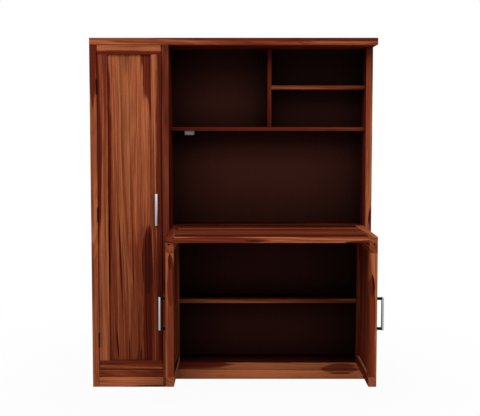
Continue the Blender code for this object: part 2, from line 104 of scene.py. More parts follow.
# Figured wood: how far noises change the tone, staves' piths stray, and bands break up the heartwood
BAND_SWING = 1.25
BROAD_SWING = 0.8
STREAK_SWING = 0.7
FIBRE_SWING = 0.5
STAVE_SWING = 0.16
STAVE_STRAY = 0.06
HEART_LEVEL = 0.95
HEART_SWING = 2.2

# Figured wood: the values at which each change starts and is full
DARK_TO_MIDDLE = (0.12, 0.5)
MIDDLE_TO_LIGHT = (0.46, 0.88)
HEART_TO_DARK = (0.0, 0.55)
HEART_TO_FULL = (0.5, 1.05)
FIGURE_EDGE = (1.25, 0.75)
VEIN_EDGE = (0.05, 0.008)
VEIN_AREA = (0.42, 0.62)
PORE_EDGE = (0.60, 0.74)
JOINT_EDGE = (0.0014, 0.0003)
END_GRAIN_EDGE = (0.7, 0.95)

# Figured wood: how strongly veins, pores, joints and end grain show, and its relief and roughness
VEIN_SHARE = 0.6
PORE_SHARE = 0.30
JOINT_SHARE = 0.5
END_GRAIN_SHARE = 0.35
GRAIN_BUMP = {"Strength": 0.25, "Distance": 0.0005}
FIBRE_RELIEF = 0.5
PORE_RELIEF = 0.5
JOINT_RELIEF = 0.6
WOOD_ROUGHNESS = 0.40
FIBRE_ROUGHNESS = 0.16
PORE_ROUGHNESS = 0.1

# Back sheets: stretches of their noises, how fast their painted shade near the boards fades, how dark and
# how light that painted shade makes them, and their finish
SHEET_STREAKS = (180.0, 180.0, 3.0)
SHEET_CLOUDS = (4.0, 4.0, 2.0)
STREAK_SHARE = 0.25
CLOUD_SHARE = 0.15
PAINTED_SHADE_FALL = 1.5
PAINTED_SHADE_DARKEST = 0.1
PAINTED_SHADE_LIGHTEST = 1.4
SHEET_ROUGHNESS = 0.55
SHEET_ROUGHNESS_SPREAD = 0.2
SHEET_SPECULAR = 0.02

# Handles: the fine lines along a bar, and its roughness
BRUSH_STRETCH = (2600.0, 2600.0, 30.0)
BRUSH_DARK = 0.9
BRUSH_LIGHT = 1.06
BAR_ROUGHNESS = 0.34
BAR_ROUGHNESS_SPREAD = 0.25

# Flap's catch: the rounding of its housing, the wall and depth of its recess, and the two steel plates in it
HOUSING_ROUNDING = 0.0014
RECESS_WALL = 0.0045
RECESS_DEPTH = 0.0022
PLATE_LENGTH_SHARE = 0.62
PLATE_THICKNESS = 0.0016
PLATE_REACH = 0.0019
PLATE_FROM_MIDDLE = 0.0028
PLATE_ROUNDING = 0.0003
RIM_ROUNDING = 0.0002

# Strike plate: its corners, and its screws' way from its middle as a share of its length
STRIKE_CORNER = 0.003
STRIKE_SCREW_SHARE = 0.36

# Edge catches: the flats round a turned button
BUTTON_STEPS = 28

# Studio: the size and place of each lamp, where all of them point, and the floor
LAMPS = {
    "key": ((3.2, 2.2), Vector((0.2, -2.9, 3.4))),
    "fill": ((2.6, 2.0), Vector((-0.4, -5.2, 1.5))),
    "back": ((2.4, 1.8), Vector((0.8, 3.6, 2.6))),
}
LAMP_AIM = Vector((0.0, 0.0, 0.85))
FLOOR_REACH = 14.0
FLOOR_ROUGHNESS = 0.9
FLOOR_SHADE_EDGE = (2.4, 0.7)

# Kinds of sockets
NUMBER = "NodeSocketFloat"
VECTOR = "NodeSocketVector"
COLOUR = "NodeSocketColor"


def linear(red, green, blue):
    """A colour picked as 8-bit sRGB values, in linear values."""
    return tuple(((value / 255 + 0.055) / 1.055) ** 2.4 for value in (red, green, blue))


def colour_property(name, description, default):
    return FloatVectorProperty(
        name=name, description=description, subtype="COLOR", size=3, min=0.0, max=1.0, default=default
    )


def length_property(name, description, default):
    return FloatProperty(name=name, description=description, unit="LENGTH", min=0.0, default=default)


def share_property(name, description, default):
    return FloatProperty(name=name, description=description, default=default)


def power_property(name, description, default):
    return FloatProperty(name=name, description=description, subtype="POWER", default=default)


class STUDYDESK_PG_wood(PropertyGroup):
    """Colours and sizes of the wood's figure and of the boards' edges."""

    light: colour_property("Light wood", "Pale bands of the wood", linear(168, 96, 60))
    middle: colour_property("Middle wood", "Most of the wood", linear(127, 59, 35))
    dark: colour_property("Dark wood", "Dark red bands of the wood", linear(96, 34, 21))
    heart: colour_property("Heartwood", "Nearly black patches of the wood", linear(42, 15, 14))
    sheet: colour_property("Back sheet", "Stained sheet behind the shelves", linear(50, 22, 16))
    # Painted shade: within this reach of a board, an ambient occlusion node darkens the back sheet's colour
    # in place of shade
    stain_reach: length_property("Stain reach", "How far from a board the sheet's stain stays deep", 0.3)
    band_pitch: length_property("Band pitch", "Distance between growth bands", 0.0065)
    vein_pitch: length_property("Vein pitch", "Distance between thin dark veins", 0.016)
    waver: length_property("Waver", "How far a growth band strays", 0.009)
    outer_arris: length_property("Outer arris", "Rounding of the doors' and the flap's outer edges", 0.0028)
    inner_arris: length_property("Inner arris", "Rounding of the edges where their boards meet", 0.0005)
    board_arris: length_property("Board arris", "Rounding of the carcass boards' edges", 0.0016)


class STUDYDESK_PG_hardware(PropertyGroup):
    """Colours and sizes of the handles, hinges and catches."""

    bar: colour_property("Handle bar", "Satin silver bar", linear(176, 175, 175))
    black: colour_property("Black", "Handle backs, hinges, strike plate and edge catches", linear(5, 5, 6))
    bronze: colour_property("Bronze", "Long hinge of the flap", linear(74, 32, 20))
    catch: colour_property("Catch", "Grey housing of the flap's catch", linear(104, 96, 94))
    steel: colour_property("Steel", "Pole plates and the hinges' screws", linear(122, 120, 118))
    bar_width: length_property("Bar width", "Width of a handle's bar", 0.015)
    bar_thickness: length_property("Bar thickness", "Thickness of a handle's bar", 0.011)
    bar_backing: length_property("Bar backing", "Thickness of the black back of a handle's bar", 0.0024)
    # Painted shadow: the black back shows this far beside the silver face, as a dark rim in place of the
    # shadow round the bar
    bar_rim: length_property("Bar rim", "How far the black back shows beside the silver face", 0.0004)
    bar_front_radius: length_property("Bar front radius", "Rounding of the bar's front edges", 0.0042)
    bar_back_radius: length_property("Bar back radius", "Rounding of the bar's back edges", 0.0010)
    bar_end_radius: length_property("Bar end radius", "Rounding of the bar's ends", 0.0008)
    foot_width: length_property("Foot width", "Width of a handle's foot", 0.012)
    foot_length: length_property("Foot length", "Length of a handle's foot along the bar", 0.0120)
    foot_inset: length_property("Foot inset", "From the bar's end to its foot", 0.0015)
    foot_radius: length_property("Foot radius", "Rounding of a foot's edges", 0.0009)
    screw_radius: length_property("Screw radius", "Radius of a screw's head", 0.0028)


class STUDYDESK_PG_stage(PropertyGroup):
    """Place of the camera, and the studio's light."""

    eye: FloatVectorProperty(
        name="Eye",
        description="Place of the camera",
        subtype="TRANSLATION",
        unit="LENGTH",
        size=3,
        default=(0.0, -4.7226, 1.2626),
    )
    tilt: FloatProperty(
        name="Tilt", description="How far the camera looks down", subtype="ANGLE", default=radians(4.746)
    )
    lens: FloatProperty(name="Lens", description="Focal length in millimetres", min=1.0, default=74.31)
    shift: share_property("Shift", "Sideways shift, as a share of the width", 0.01326)
    floor: colour_property("Floor", "Pale floor", (0.75, 0.75, 0.75))
    floor_shade: share_property("Floor shade", "How much of its shade the floor shows near the desk", 0.05)
    ambient: share_property("Ambient", "Strength of the light from all round", 0.5)
    key: power_property("Key", "Power of the high front lamp", 90.0)
    fill: power_property("Fill", "Power of the lamp by the camera", 8.0)
    back: power_property("Back", "Power of the lamp behind the desk", 40.0)


class Figure(NamedTuple):
    """A dark patch in a board: heartwood, and on some faces painted shade.

    It has a middle along and across the grain, half sizes and a strength. Lean is how far it strays across
    for each metre along. Its ends are pointed at a roundness of 0 and round at 1. It may have a middle and a
    half size through the board as well. Ragged is how far its edge frays into the grain.
    """

    along: float
    across: float
    half_length: float
    half_width: float
    strength: float = 1.0
    lean: float = 0.0
    roundness: float = 0.0
    through: float = 0.0
    half_depth: float = WHOLE_BOARD
    ragged: float = 1.0


class Cut(NamedTuple):
    """How a board was sawn and chosen.

    Axes are the frame's axes along, across and through the grain. Drift is a change of tone for each metre
    along the grain. Staves are the width of glued staves and the axis that they are laid along. Pith is the
    way from the board's middle to the heart of the tree, across and through the board, and slope is how that
    changes along the grain. Lightness scales the board's pale colours.
    """

    axes: str
    tone: float = 0.0
    drift: float = 0.0
    contrast: float = 1.0
    staves: tuple = (WHOLE_BOARD, "y")
    pith: tuple = (0.05, 0.07)
    slope: tuple = (0.014, 0.008)
    lightness: float = 1.0
    figures: tuple = ()


# A dark patch that runs over from the cabinet's floor to its plinth
SHARED_PATCH = Figure(0.53, 0.0516, 0.088, 0.027, 0.38, roundness=1.0, ragged=1.3)

# The wood of each board, with painted shade laid as dark patches on some faces that lie in shade
PANEL_CUTS = {
    "side_panel_left": Cut(
        "zxy", 0.17, drift=-0.25, staves=(0.085, "y"), pith=(0.03, 0.2),
        figures=(
            Figure(1.64, -0.668, 0.318, 0.021, 0.6, through=-0.005, half_depth=0.09),
            Figure(1.15, -0.668, 0.22, 0.021, 0.2, through=-0.005, half_depth=0.09),
        ),
    ),
    "side_panel_middle": Cut(
        "zxy", -0.08, drift=0.1, contrast=2.0, staves=(0.085, "y"), pith=(0.04, 0.2),
        figures=(
            Figure(0.9, -0.3235, 1.3, 0.022, 0.28),
            # Painted shade: a thin dark layer on the panel's inner face, which lies in shade inside the desk
            Figure(0.9, -0.3075, 3.0, 0.0015, 0.7, ragged=0.3),
        ),
    ),
    "side_panel_right": Cut(
        "zxy", -0.05, drift=0.18, staves=(0.095, "y"), pith=(-0.03, 0.2),
        figures=(
            # Painted shade: a thin dark layer on the panel's inner face, which lies in shade inside the
            # hutch
            Figure(0.8, 0.646, 3.0, 0.0015, 0.7, ragged=0.3),
            Figure(0.805, 0.676, 0.055, 0.012, 0.8, through=0.145, half_depth=0.05),
            Figure(1.56, 0.679, 0.15, 0.011, 0.35, through=0.145, half_depth=0.05),
        ),
    ),
}
TOP_CUTS = {
    "top_board": Cut(
        "xzy", 0.02, staves=(0.085, "y"), pith=(0.02, 0.2),
        figures=(
            Figure(0.35, 1.672, 0.75, 0.014, 0.6, through=-0.005, half_depth=0.08),
            # Painted shade: darkens the top board's underside over the hutch, which lies in shade
            Figure(0.0, 1.6435, 3.0, 0.0022, 0.6, through=0.19, half_depth=0.17),
        ),
    ),
}
SHELF_CUTS = {
    "cupboard_floor": Cut("xzy", -0.18, staves=(0.08, "y")),
    "cupboard_plinth": Cut(
        "xzy", 0.5, contrast=2.2, pith=(0.02, 0.01), lightness=1.3,
        figures=(Figure(-0.38, 0.0, 0.16, 0.008, 0.9),),
    ),
    "cupboard_shelf_lower": Cut("xzy", -0.05, staves=(0.08, "y")),
    "cupboard_shelf_upper": Cut("xzy", -0.05, staves=(0.08, "y")),
    "hutch_shelf": Cut("xzy", -0.4, staves=(0.075, "y")),
    "hutch_divider": Cut("zxy", -0.40, staves=(0.075, "y")),
    "hutch_small_shelf": Cut("xzy", -0.22, staves=(0.075, "y")),
    # Painted shade: the desk board's broad dark patch, and partly its low tone, darken it where it lies in
    # shade under the hutch
    "desk_board": Cut("xyz", -0.25, figures=(Figure(-0.2, 0.25, 0.6, 0.2, 0.68),)),
    # Painted shade: the cabinet shelf's patch darkens its top face, which lies in shade under the flap
    "cabinet_shelf": Cut("xzy", 0.1, staves=(0.07, "y"), figures=(Figure(0.17, 0.403, 3.0, 0.004, 0.9),)),
    "cabinet_floor": Cut(
        "xzy", 0.3, staves=(0.08, "y"),
        figures=(
            Figure(-0.2, 0.076, 0.21, 0.022, 0.54),
            # Painted shade: the second patch darkens the cabinet floor's top face, which lies in shade
            # inside the cabinet
            Figure(0.17, 0.0875, 3.0, 0.004, 0.9),
            SHARED_PATCH,
        ),
    ),
    "cabinet_plinth": Cut(
        "xzy", 0.52, contrast=1.6, pith=(0.02, 0.03), lightness=1.25, figures=(SHARED_PATCH,)
    ),
}
DOOR_CUTS = {
    "cupboard_door_top_rail": Cut(
        "xzy", 0.10, pith=(0.02, 0.05), figures=(Figure(-0.495, 1.598, 0.42, 0.017, 0.62),)
    ),
    "cupboard_door_bottom_rail": Cut("xzy", 0.10, figures=(Figure(-0.495, 0.131, 0.5, 0.02, 0.34),)),
    "cupboard_door_hinge_stile": Cut(
        "zxy", 0.2, drift=-0.2, pith=(0.1, 0.03),
        figures=(
            Figure(1.15, -0.6455, 0.45, 0.019, 0.66),
            Figure(1.4, -0.608, 0.32, 0.006, 0.35),
            Figure(0.97, -0.6145, 0.33, 0.009, 0.3),
        ),
    ),
    "cupboard_door_free_stile": Cut(
        "zxy", 0.15, drift=0.18, pith=(0.1, 0.03),
        # Painted shadow: the second patch darkens the stile's lower half, where the open left door shades
        # it; the first is the stile's own dark figure
        figures=(Figure(0.9, -0.348, 1.7, 0.021, 0.5), Figure(0.4, -0.347, 0.5, 0.015, 0.75)),
    ),
    "cupboard_door_panel": Cut(
        "zxy", 0.16, drift=0.25, contrast=0.6, staves=(0.055, "x"), pith=(0.02, 0.12),
        figures=(
            Figure(1.66, -0.396, 0.34, 0.046, 0.64, ragged=1.4),
            Figure(0.61, -0.43, 0.165, 0.045, 0.28, roundness=1.0, ragged=2.0),
            Figure(0.615, -0.411, 0.165, 0.028, 0.9, roundness=1.0, ragged=1.6),
            Figure(0.33, -0.4, 0.36, 0.034, 0.7, roundness=0.6, ragged=1.6),
            # Painted shadow: a dark band down the panel's left edge, where the stile shades the recessed
            # panel
            Figure(1.05, -0.602, 0.7, 0.019, 0.8),
            Figure(0.61, -0.5428, 0.26, 0.0045, 0.75, lean=-0.028),
            Figure(0.645, -0.4844, 0.28, 0.0038, 0.7, lean=-0.02),
            Figure(0.22, -0.5624, 0.11, 0.005, 0.85, lean=-0.077),
            Figure(0.17, -0.5033, 0.085, 0.004, 0.75),
            Figure(0.15, -0.4483, 0.05, 0.005, 0.8),
        ),
    ),
    "left_door_top_rail": Cut("yxz", 0.2),
    "left_door_bottom_rail": Cut("yxz", 0.5),
    "left_door_hinge_stile": Cut("zxy", -0.05),
    "left_door_free_stile": Cut(
        "zxy", 0.06,
        figures=(
            Figure(0.27, -0.281, 0.4, 0.018, 0.36, roundness=0.8),
            Figure(0.655, -0.284, 0.042, 0.010, 0.85, ragged=1.6),
            Figure(0.56, -0.281, 0.12, 0.017, 0.5, roundness=1.0),
        ),
    ),
    "left_door_panel": Cut("zyx", -0.1, staves=(0.062, "y")),
    "right_door_top_rail": Cut("yxz", -0.05),
    "right_door_bottom_rail": Cut("yxz", 0.45, figures=(Figure(-0.1, 0.6045, 1.0, 0.004, 0.6),)),
    # Partly painted shade: set darker than the left door's hinge stile, as the right door's inner face lies
    # in shade
    "right_door_hinge_stile": Cut("zxy", -0.25),
    "right_door_free_stile": Cut(
        "zxy", 0.06,
        figures=(
            Figure(0.2, 0.6195, 0.37, 0.018, 0.4),
            Figure(0.4, 0.6195, 0.185, 0.018, 0.45, roundness=1.0, ragged=1.6),
            Figure(0.545, 0.6205, 0.055, 0.014, 0.8, ragged=1.8),
        ),
    ),
    # Partly painted shade: set darker than the left door's panel, as the right door's inner face lies in
    # shade
    "right_door_panel": Cut("zyx", -0.2, staves=(0.062, "y")),
}
FLAP_CUTS = {
    "flap_cleat_left": Cut("yxz", -0.35),
    "flap_cleat_right": Cut("yxz", 0.45),
    "flap_front_rail": Cut(
        "xzy", 0.3,
        figures=(
            # Painted shade: the first patch darkens the rail's flat top face, so it is darker than the
            # rail's lit front
            Figure(0.17, 0.7692, 3.0, 0.0006, 0.9),
            Figure(-0.12, 0.7525, 0.27, 0.0145, 0.45, roundness=1.0),
            Figure(0.62, 0.744, 0.13, 0.010, 0.8),
            Figure(0.085, 0.751, 0.04, 0.004, 0.8),
        ),
    ),
    # Painted shade: the back rail's dark patch, and partly its low tone, darken the back of the flap where
    # it lies in shade under the hutch
    "flap_back_rail": Cut("xyz", -0.5, figures=(Figure(-0.1, 0.14, 1.2, 0.09, 0.72),)),
    "flap_panel": Cut(
        "xyz", -0.1, staves=(0.19, "y"),
        figures=(
            # Painted shade: the first patch darkens the back of the panel, in shade under the hutch; the
            # other two are the wood's own dark stripes
            Figure(-0.1, 0.1, 1.2, 0.035, 0.68),
            Figure(0.17, -0.042, 2.0, 0.024, 0.45),
            Figure(0.0, -0.245, 2.0, 0.035, 0.5),
        ),
    ),
}


class Finish(NamedTuple):
    """A plain finish with cloudy handling marks.

    Worn is how much lighter or darker its worn places are, spread is how far its roughness varies, and scale
    is how fine the marks are.
    """

    material: str
    worn: float
    roughness: float
    spread: float
    metallic: float = 0.0
    specular: float = 0.5
    scale: float = 60.0


# The plain finishes, by the setting that holds the colour of each
FINISHES = {
    "black": Finish("satin_black", 1.8, 0.45, 0.2, specular=0.05),
    "steel": Finish("plain_steel", 0.8, 0.38, 0.2, metallic=1.0, scale=200.0),
    "catch": Finish("catch_grey", 0.85, 0.55, 0.15, specular=0.3, scale=90.0),
    "bronze": Finish("dark_bronze", 0.6, 0.5, 0.2, specular=0.0),
}

# Handling marks: the values of their noise at which a place is clean and fully worn
CLOUD_EDGE = (0.35, 0.7)


class Wiring:
    """Adds nodes to a tree, each input fed by a socket or a plain value."""

    def __init__(self, tree):
        self.tree = tree

    def feed(self, socket, value):
        if isinstance(value, NodeSocket):
            self.tree.links.new(value, socket)
        else:
            socket.default_value = value

    def add(self, kind, inputs=None, **settings):
        node = self.tree.nodes.new(kind)
        for name, value in settings.items():
            setattr(node, name, value)
        for key, value in (inputs or {}).items():
            self.feed(node.inputs[key], value)
        return node

    def group(self, name, inputs):
        """The outputs of a shared shader group, which is made when it is first asked for."""
        tree = bpy.data.node_groups.get(name) or GROUP_MAKERS[name]()
        return self.add("ShaderNodeGroup", inputs, node_tree=tree).outputs

    def math(self, operation, first, second=0.0, third=0.0):
        return self.add("ShaderNodeMath", {0: first, 1: second, 2: third}, operation=operation).outputs[0]

    def total(self, first, *others):
        for other in others:
            first = self.math("ADD", first, other)
        return first

    def centred(self, value, share):
        """A noise value moved to zero and scaled to a share."""
        return self.math("MULTIPLY", self.math("SUBTRACT", value, 0.5), share)

    def vector(self, operation, first, second, third=(0.0, 0.0, 0.0)):
        inputs = {0: first, 1: second, 2: third}
        return self.add("ShaderNodeVectorMath", inputs, operation=operation).outputs[0]

    def split(self, vector):
        return self.add("ShaderNodeSeparateXYZ", {0: vector}).outputs[:3]

    def noise(self, vector, stretch, detail):
        """The value and colour of a noise stretched along the grain."""
        scaled = self.vector("MULTIPLY", vector, stretch)
        return self.add("ShaderNodeTexNoise", {"Vector": scaled, "Scale": 1.0, "Detail": detail}).outputs

    def line_noise(self, place, detail, roughness):
        """A noise along a line."""
        inputs = {"W": place, "Scale": 1.0, "Detail": detail, "Roughness": roughness}
        return self.add("ShaderNodeTexNoise", inputs, noise_dimensions="1D").outputs[0]

    def step(self, value, low, high):
        """A smooth step from 0 at the low value to 1 at the high one."""
        inputs = {"Value": value, "From Min": low, "From Max": high}
        return self.add("ShaderNodeMapRange", inputs, interpolation_type="SMOOTHSTEP").outputs[0]

    def mix(self, factor, first, second):
        inputs = {0: factor, 6: first, 7: second}
        return self.add("ShaderNodeMix", inputs, data_type="RGBA").outputs[2]

    def mark(self, shade, mask, share, colour):
        """A shade with a colour laid over it, by a share of a mask."""
        return self.mix(self.math("MULTIPLY", mask, share), shade, colour)


def new_group(name, inputs, outputs):
    """An empty shader group with named sockets, whose inputs are fed wherever it is used."""
    tree = bpy.data.node_groups.new(name, "ShaderNodeTree")
    for way, sockets in (("INPUT", inputs), ("OUTPUT", outputs)):
        for label, kind in sockets.items():
            tree.interface.new_socket(label, in_out=way, socket_type=kind)
    wires = Wiring(tree)
    given = wires.add("NodeGroupInput").outputs
    result = wires.add("NodeGroupOutput").inputs
    return tree, wires, given, result


def label_of(field):
    """The label of a socket that takes a field of a figure."""
    return field.replace("_", " ").title()


def heart_figure_group():
    """A mask of one dark patch with a ragged edge: heartwood, and on some faces painted shade."""
    fields = {label_of(field): NUMBER for field in Figure._fields}
    tree, wires, given, result = new_group("Heart Figure", {"Vector": VECTOR, **fields}, {"Mask": NUMBER})
    along, across, through = wires.split(given["Vector"])
    fray = wires.noise(given["Vector"], FIGURE_STRETCH, detail=3.0)[0]
    ragged = wires.centred(fray, given["Ragged"])
    from_middle = wires.math("SUBTRACT", along, given["Along"])
    middle = wires.math("MULTIPLY_ADD", from_middle, given["Lean"], given["Across"])
    length_share = wires.math("DIVIDE", from_middle, given["Half Length"])
    from_depth = wires.math("SUBTRACT", through, given["Through"])
    depth_share = wires.math("DIVIDE", from_depth, given["Half Depth"])
    width_share = wires.math("DIVIDE", wires.math("SUBTRACT", across, middle), given["Half Width"])
    pointed = wires.math("ABSOLUTE", width_share)
    rounding = wires.math("SUBTRACT", wires.math("MULTIPLY", width_share, width_share), pointed)
    outside = wires.total(
        wires.math("MULTIPLY_ADD", rounding, given["Roundness"], pointed),
        wires.math("MULTIPLY", length_share, length_share),
        wires.math("MULTIPLY", depth_share, depth_share),
    )
    edge = wires.step(wires.math("ADD", outside, ragged), *FIGURE_EDGE)
    wires.feed(result["Mask"], wires.math("MULTIPLY", edge, given["Strength"]))
    return tree


# What the figured wood is given
WOOD_NUMBERS = (
    "Stave Place", "Stave Width", "Seed", "Tone", "Drift", "Contrast", "Pith Across", "Pith Through",
    "Slope Across", "Slope Through", "Band Pitch", "Vein Pitch", "Waver", "Heart", "End Grain",
)
WOOD_COLOURS = ("Light", "Middle", "Dark", "Heartwood")


def figured_wood_group():
    """Growth bands round a tilted pith, broad tones, fibres, pores, glued staves and heartwood."""
    inputs = {"Vector": VECTOR, **dict.fromkeys(WOOD_NUMBERS, NUMBER), **dict.fromkeys(WOOD_COLOURS, COLOUR)}
    outputs = {"Colour": COLOUR, "Roughness": NUMBER, "Height": NUMBER}
    tree, wires, given, result = new_group("Figured Wood", inputs, outputs)
    stave_place = wires.math("DIVIDE", given["Stave Place"], given["Stave Width"])
    stave_number = wires.math("ADD", wires.math("FLOOR", stave_place), given["Seed"])
    chance = wires.add("ShaderNodeTexWhiteNoise", {"W": stave_number}, noise_dimensions="1D")
    stave = chance.outputs["Color"]
    stave_tone, stave_pith, stave_depth = wires.split(stave)
    place = wires.vector("MULTIPLY_ADD", stave, STAVE_SHIFT, given["Vector"])
    along, across, through = wires.split(given["Vector"])

    strays = wires.split(wires.noise(place, SLOW_STRETCH, detail=2.0)[1])
    waver = wires.math("MULTIPLY", given["Waver"], 2.0)
    sides = []
    for side, pith, slope, stray, own in (
        (across, "Pith Across", "Slope Across", strays[0], stave_pith),
        (through, "Pith Through", "Slope Through", strays[1], stave_depth),
    ):
        from_pith = wires.math("SUBTRACT", side, given[pith])
        sloped = wires.math("MULTIPLY_ADD", given[slope], along, from_pith)
        strayed = wires.math("MULTIPLY_ADD", wires.math("SUBTRACT", stray, 0.5), waver, sloped)
        sides.append(wires.math("ADD", strayed, wires.centred(own, STAVE_STRAY)))
    square = wires.math("MULTIPLY_ADD", sides[0], sides[0], wires.math("MULTIPLY", sides[1], sides[1]))
    radius = wires.math("SQRT", square)
    bands_out = wires.math("DIVIDE", radius, given["Band Pitch"])
    ring = wires.math("MULTIPLY_ADD", given["Seed"], BAND_SEED, bands_out)
    band = wires.line_noise(ring, detail=3.5, roughness=0.72)
    veins_out = wires.math("DIVIDE", radius, given["Vein Pitch"])
    vein_ring = wires.math("MULTIPLY_ADD", given["Seed"], VEIN_SEED, veins_out)
    vein_noise = wires.line_noise(vein_ring, detail=1.0, roughness=0.5)
    from_vein = wires.math("ABSOLUTE", wires.math("SUBTRACT", vein_noise, 0.5))
    vein = wires.math("MULTIPLY", wires.step(from_vein, *VEIN_EDGE), wires.step(strays[2], *VEIN_AREA))

    broad = wires.noise(place, BROAD_STRETCH, detail=1.5)[0]
    streak = wires.noise(place, STREAK_STRETCH, detail=2.0)[0]
    fibre = wires.noise(place, FIBRE_STRETCH, detail=2.0)[0]
    pore = wires.step(wires.noise(place, PORE_STRETCH, detail=1.0)[0], *PORE_EDGE)
    swing = wires.math("ADD", wires.centred(band, BAND_SWING), wires.centred(broad, BROAD_SWING))
    tone = wires.total(
        0.5,
        given["Tone"],
        wires.math("MULTIPLY", given["Drift"], along),
        wires.math("MULTIPLY", swing, given["Contrast"]),
        wires.centred(streak, STREAK_SWING),
        wires.centred(fibre, FIBRE_SWING),
        wires.centred(stave_tone, STAVE_SWING),
    )
    banded = wires.math("ADD", HEART_LEVEL, wires.centred(band, HEART_SWING))
    heart = wires.math("MULTIPLY", given["Heart"], banded)
    into_stave = wires.math("FRACT", stave_place)
    to_joint = wires.math("MINIMUM", into_stave, wires.math("SUBTRACT", 1.0, into_stave))
    joint = wires.step(wires.math("MULTIPLY", to_joint, given["Stave Width"]), *JOINT_EDGE)

    shade = wires.mix(wires.step(tone, *DARK_TO_MIDDLE), given["Dark"], given["Middle"])
    shade = wires.mix(wires.step(tone, *MIDDLE_TO_LIGHT), shade, given["Light"])
    shade = wires.mix(wires.step(heart, *HEART_TO_DARK), shade, given["Dark"])
    shade = wires.mix(wires.step(heart, *HEART_TO_FULL), shade, given["Heartwood"])
    for mask, share in ((vein, VEIN_SHARE), (pore, PORE_SHARE), (joint, JOINT_SHARE)):
        shade = wires.mark(shade, mask, share, given["Heartwood"])
    wires.feed(result["Colour"], wires.mark(shade, given["End Grain"], END_GRAIN_SHARE, given["Dark"]))
    pore_roughness = wires.math("MULTIPLY", pore, PORE_ROUGHNESS)
    roughness = wires.total(WOOD_ROUGHNESS, wires.centred(fibre, FIBRE_ROUGHNESS), pore_roughness)
    wires.feed(result["Roughness"], roughness)
    relief = wires.math("MULTIPLY", fibre, FIBRE_RELIEF)
    for mask, share in ((pore, PORE_RELIEF), (joint, JOINT_RELIEF)):
        relief = wires.math("SUBTRACT", relief, wires.math("MULTIPLY", mask, share))
    wires.feed(result["Height"], relief)
    return tree


def wear_group():
    """Cloudy handling marks: a factor for colour and a roughness."""
    inputs = {"Vector": VECTOR, "Scale": NUMBER, "Roughness": NUMBER, "Spread": NUMBER}
    outputs = {"Factor": NUMBER, "Roughness": NUMBER}
    tree, wires, given, result = new_group("Handling Wear", inputs, outputs)
    clouds = {"Vector": given["Vector"], "Scale": given["Scale"], "Detail": 4.0}
    cloud = wires.add("ShaderNodeTexNoise", clouds).outputs[0]
    wires.feed(result["Factor"], wires.step(cloud, *CLOUD_EDGE))
    spread = wires.centred(cloud, given["Spread"])
    wires.feed(result["Roughness"], wires.math("ADD", given["Roughness"], spread))
    return tree


GROUP_MAKERS = {
    "Heart Figure": heart_figure_group,
    "Figured Wood": figured_wood_group,
    "Handling Wear": wear_group,
}


def opaque(colour, share=1.0):
    """A colour made lighter or darker by a share, with full alpha."""
    return (*(min(1.0, channel * share) for channel in colour), 1.0)


def new_material(name):
    """A material with the wiring of its node tree and its Principled shader."""
    material = bpy.data.materials.new(name)
    material.use_nodes = True
    wires = Wiring(material.node_tree)
    return material, wires, material.node_tree.nodes["Principled BSDF"]


def middle_of(node):
    low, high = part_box(node)
    return (low + high) / 2


def wood_material(node, cut, wood):
    """The wood of one board, with its grain laid along the board."""
    material, wires, shader = new_material(f"wood_{node}")
    source = wires.add("ShaderNodeTexCoord").outputs
    places = dict(zip("xyz", wires.split(source["Object"])))
    normals = dict(zip("xyz", wires.split(source["Normal"])))
    centre = dict(zip("xyz", middle_of(node)))
    along, across, through = cut.axes
    ordered = {index: places[axis] for index, axis in enumerate(cut.axes)}
    vector = wires.add("ShaderNodeCombineXYZ", ordered).outputs[0]

    heart = 0.0
    for figure in cut.figures:
        fields = {label_of(field): value for field, value in figure._asdict().items()}
        mask = wires.group("Heart Figure", {"Vector": vector, **fields})["Mask"]
        heart = wires.math("MAXIMUM", heart, mask)

    stave_width, stave_axis = cut.staves
    end_facing = wires.math("ABSOLUTE", normals[along])
    values = {
        "Vector": vector,
        "Stave Place": places[stave_axis],
        "Stave Width": stave_width,
        "Seed": Random(node).uniform(0.0, SEED_RANGE),
        "Tone": cut.tone - cut.drift * centre[along],
        "Drift": cut.drift,
        "Contrast": cut.contrast,
        "Pith Across": centre[across] + cut.pith[0] + cut.slope[0] * centre[along],
        "Pith Through": centre[through] + cut.pith[1] + cut.slope[1] * centre[along],
        "Slope Across": cut.slope[0],
        "Slope Through": cut.slope[1],
        "Band Pitch": wood.band_pitch,
        "Vein Pitch": wood.vein_pitch,
        "Waver": wood.waver,
        "Heart": heart,
        "End Grain": wires.step(end_facing, *END_GRAIN_EDGE),
        "Light": opaque(wood.light, cut.lightness),
        "Middle": opaque(wood.middle, cut.lightness),
        "Dark": opaque(wood.dark),
        "Heartwood": opaque(wood.heart),
    }
    grain = wires.group("Figured Wood", values)
    bump = wires.add("ShaderNodeBump", {**GRAIN_BUMP, "Height": grain["Height"]})
    wires.feed(shader.inputs["Base Color"], grain["Colour"])
    wires.feed(shader.inputs["Roughness"], grain["Roughness"])
    wires.feed(shader.inputs["Normal"], bump.outputs["Normal"])
    shader.inputs["Specular IOR Level"].default_value = 0.0
    return material


def plain_material(hardware, setting):
    """A plain finish in the colour of a setting, made when it is first asked for."""
    finish = FINISHES[setting]
    made = bpy.data.materials.get(finish.material)
    if made:
        return made
    material, wires, shader = new_material(finish.material)
    values = {
        "Vector": wires.add("ShaderNodeTexCoord").outputs["Object"],
        "Scale": finish.scale,
        "Roughness": finish.roughness,
        "Spread": finish.spread,
    }
    wear = wires.group("Handling Wear", values)
    colour = getattr(hardware, setting)
    shade = wires.mix(wear["Factor"], opaque(colour), opaque(colour, finish.worn))
    wires.feed(shader.inputs["Base Color"], shade)
    wires.feed(shader.inputs["Roughness"], wear["Roughness"])
    shader.inputs["Metallic"].default_value = finish.metallic
    shader.inputs["Specular IOR Level"].default_value = finish.specular
    return material


def finish_node(node, material):
    """Give a node of the frame a finish."""
    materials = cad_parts[node].data.materials
    materials.clear()
    materials.append(material)


